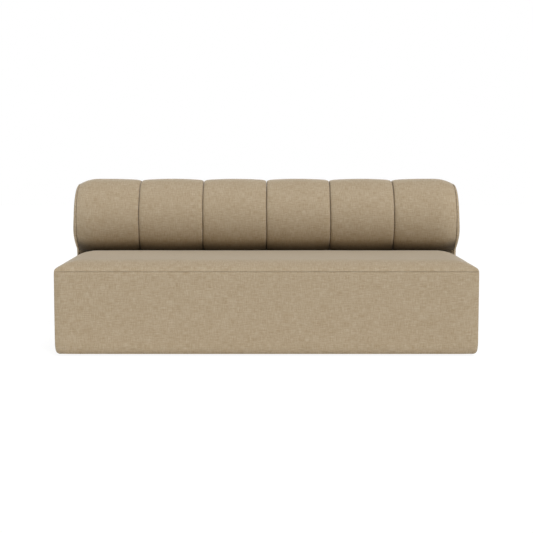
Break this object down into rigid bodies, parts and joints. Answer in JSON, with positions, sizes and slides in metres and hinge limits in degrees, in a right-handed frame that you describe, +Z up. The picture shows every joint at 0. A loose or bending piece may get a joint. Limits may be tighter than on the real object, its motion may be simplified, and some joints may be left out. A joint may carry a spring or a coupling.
{
  "type": "armless sofa",
  "caption": "Armless upholstered sofa with a box seat block and a channelled bolster back on a recessed neck.",
  "frame": {"origin": "on the floor, under the middle of the sofa's outline", "axes": "+X across the width, to the right seen from the front; +Y from front to rear; +Z up"},
  "size_m": [2, 0.98, 0.8142],
  "materials": {
    "sofa_fabric": "woven upholstery cloth, matt",
    "foam": null,
    "felt": "needled felt",
    "dust_cloth": "spun-bonded black cloth",
    "webbing": "calico strip",
    "plywood": "birch plywood, unfinished",
    "softwood": "planed pine, unfinished",
    "hardboard": "smooth hardboard",
    "spring_steel": "oiled spring wire",
    "zinc_steel": "zinc plated",
    "glide_plastic": "moulded black polyethylene"
  },
  "bodies": {
    "root": {"back_base_board": "plywood", "back_bolts": "zinc_steel", "back_channel_cover_1": "sofa_fabric", "back_channel_cover_2": "sofa_fabric", "back_channel_cover_3": "sofa_fabric", "back_channel_cover_4": "sofa_fabric", "back_channel_cover_5": "sofa_fabric", "back_channel_cover_6": "sofa_fabric", "back_end_cover_left": "sofa_fabric", "back_end_cover_right": "sofa_fabric", "back_end_foam_left": "foam", "back_end_foam_right": "foam", "back_foam_1": "foam", "back_foam_2": "foam", "back_foam_3": "foam", "back_foam_4": "foam", "back_foam_5": "foam", "back_foam_6": "foam", "back_rear_panel": "hardboard", "back_rib_1": "plywood", "back_rib_2": "plywood", "back_rib_3": "plywood", "back_rib_4": "plywood", "back_rib_5": "plywood", "back_rib_6": "plywood", "back_rib_7": "plywood", "channel_pull_strips": "webbing", "corner_blocks": "softwood", "cross_bearers": "softwood", "deck_board": "plywood", "dust_cover": "dust_cloth", "foot_blocks": "softwood", "frame_screws": "zinc_steel", "front_border_foam": "foam", "front_cover": "sofa_fabric", "front_rail": "plywood", "glide_pins": "zinc_steel", "glides": "glide_plastic", "left_border_foam": "foam", "left_side_cover": "sofa_fabric", "left_side_rail": "plywood", "neck_board": "hardboard", "rear_border_foam": "foam", "rear_cover": "sofa_fabric", "rear_rail": "plywood", "right_border_foam": "foam", "right_side_cover": "sofa_fabric", "right_side_rail": "plywood", "roll_battens": "softwood", "roll_core_board": "hardboard", "seat_cover": "sofa_fabric", "seat_foam_core": "foam", "seat_foam_top": "foam", "seat_springs": "spring_steel", "spring_clips": "zinc_steel", "spring_insulator": "felt", "spring_ledge": "softwood", "spring_rail": "plywood", "spring_tie_wires": "spring_steel", "tee_nuts": "zinc_steel"}
  },
  "joints": []
}
